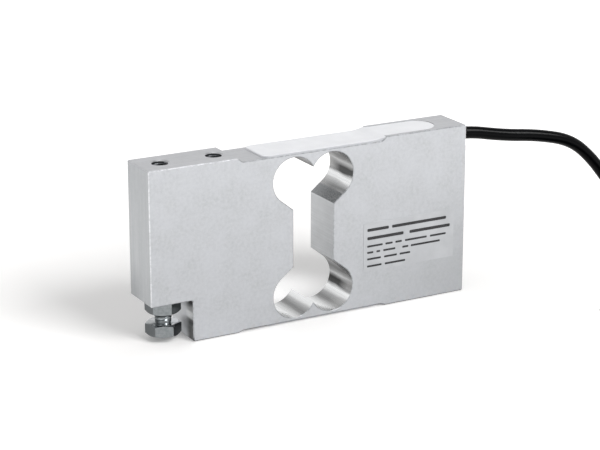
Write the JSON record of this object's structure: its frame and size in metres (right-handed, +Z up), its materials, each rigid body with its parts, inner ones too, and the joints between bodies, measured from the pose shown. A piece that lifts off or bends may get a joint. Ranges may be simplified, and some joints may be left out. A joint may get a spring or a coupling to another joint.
{
  "type": "weighing load cell",
  "caption": "Flat aluminium weighing load cell with a flexure window, sealed gauges, an adjustable stop screw and a coiled signal cable.",
  "frame": {"origin": "middle of the spring body's base, on the surface that it stands on", "axes": "+X from the load end to the fixed end where the cable leaves, -Y out of the labelled front face, +Z up"},
  "size_m": [0.2948, 0.0958, 0.075],
  "materials": {
    "machined_aluminium": "fine milled, slightly mottled, bright broken edges",
    "plated_steel": "bright zinc-plated steel",
    "silicone": "satin white potting silicone",
    "label_film": "satin silver film with dark print bars",
    "gauge_film": "amber polyimide film with foil grid",
    "terminal_copper": "copper pads on film",
    "wire_insulation": "fine insulated wire",
    "circuit_board": "green solder mask",
    "resistor_body": "black moulded resistor",
    "crimp_brass": "brass crimp",
    "cable_jacket": "glossy black cable jacket",
    "tie_plastic": "black nylon tie",
    "core_red": "red core insulation",
    "core_green": "green core insulation",
    "core_black": "black core insulation",
    "core_white": "white core insulation",
    "tinned_copper": "tinned copper strands"
  },
  "bodies": {
    "root": {"spring_body": "machined_aluminium", "stop_screw": "plated_steel", "jam_nut": "plated_steel", "rating_label": "label_film", "upper_gauge_load_end": "gauge_film", "upper_gauge_fixed_end": "gauge_film", "lower_gauge_load_end": "gauge_film", "lower_gauge_fixed_end": "gauge_film", "upper_terminal_strip": "terminal_copper", "lower_terminal_strip": "terminal_copper", "upper_gauge_wires": "wire_insulation", "lower_gauge_wires": "wire_insulation", "compensation_board": "circuit_board", "zero_balance_resistor": "resistor_body", "span_resistor": "resistor_body", "temperature_resistor": "resistor_body", "red_core": "core_red", "green_core": "core_green", "black_core": "core_black", "white_core": "core_white", "cable_crimp": "crimp_brass", "cable_lead": "cable_jacket", "cable_coil": "cable_jacket", "cable_tail": "cable_jacket", "coil_ties": "tie_plastic", "red_lead": "core_red", "green_lead": "core_green", "drain_wire": "tinned_copper", "black_lead": "core_black", "white_lead": "core_white", "core_tips": "tinned_copper", "upper_sealant": "silicone", "lower_sealant": "silicone"}
  },
  "joints": []
}
